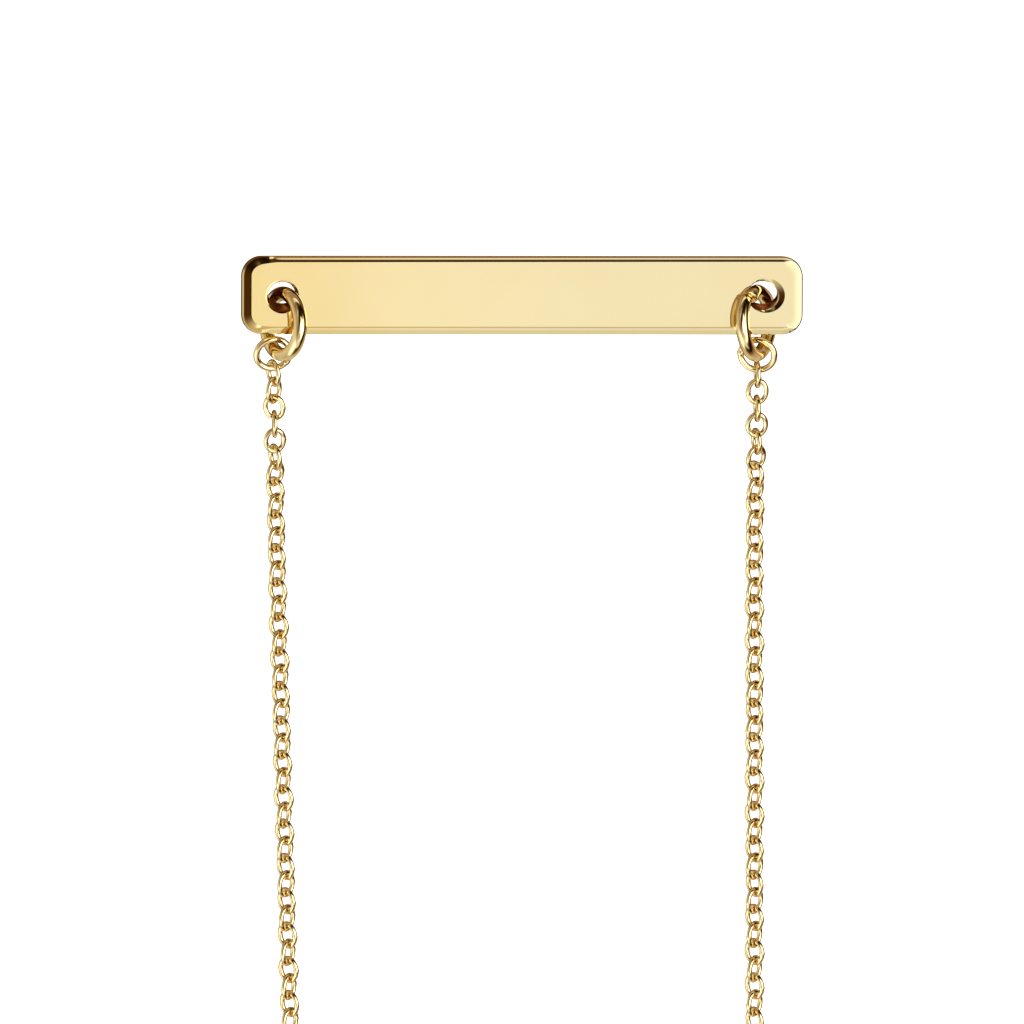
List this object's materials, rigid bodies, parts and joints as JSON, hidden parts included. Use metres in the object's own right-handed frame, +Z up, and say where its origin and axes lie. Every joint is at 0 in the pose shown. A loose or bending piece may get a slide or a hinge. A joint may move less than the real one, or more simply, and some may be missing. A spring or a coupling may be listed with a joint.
{
  "type": "bar pendant necklace",
  "caption": "Flat polished bar pendant with a holed end on each side, hung by jump rings on a fine cable chain that closes with a round clasp.",
  "frame": {"origin": "on the surface that the necklace lies on, under the middle of its bounding box", "axes": "+Z up from the surface, +Y along the loop towards the bar, -Y towards the clasp, +X towards the bar's right end seen from above"},
  "size_m": [0.0376, 0.1888, 0.0045],
  "materials": {
    "bar_gold": "mirror polished",
    "chain_gold": "polished"
  },
  "bodies": {
    "root": {"bar": "bar_gold", "ring_left": "bar_gold", "ring_right": "bar_gold", "small_ring_left": "chain_gold", "small_ring_right": "chain_gold", "chain_left": "chain_gold", "chain_right": "chain_gold", "chain_end_left": "chain_gold", "chain_end_right": "chain_gold", "end_ring_left": "chain_gold", "end_ring_right": "chain_gold", "clasp": "chain_gold"}
  },
  "joints": []
}
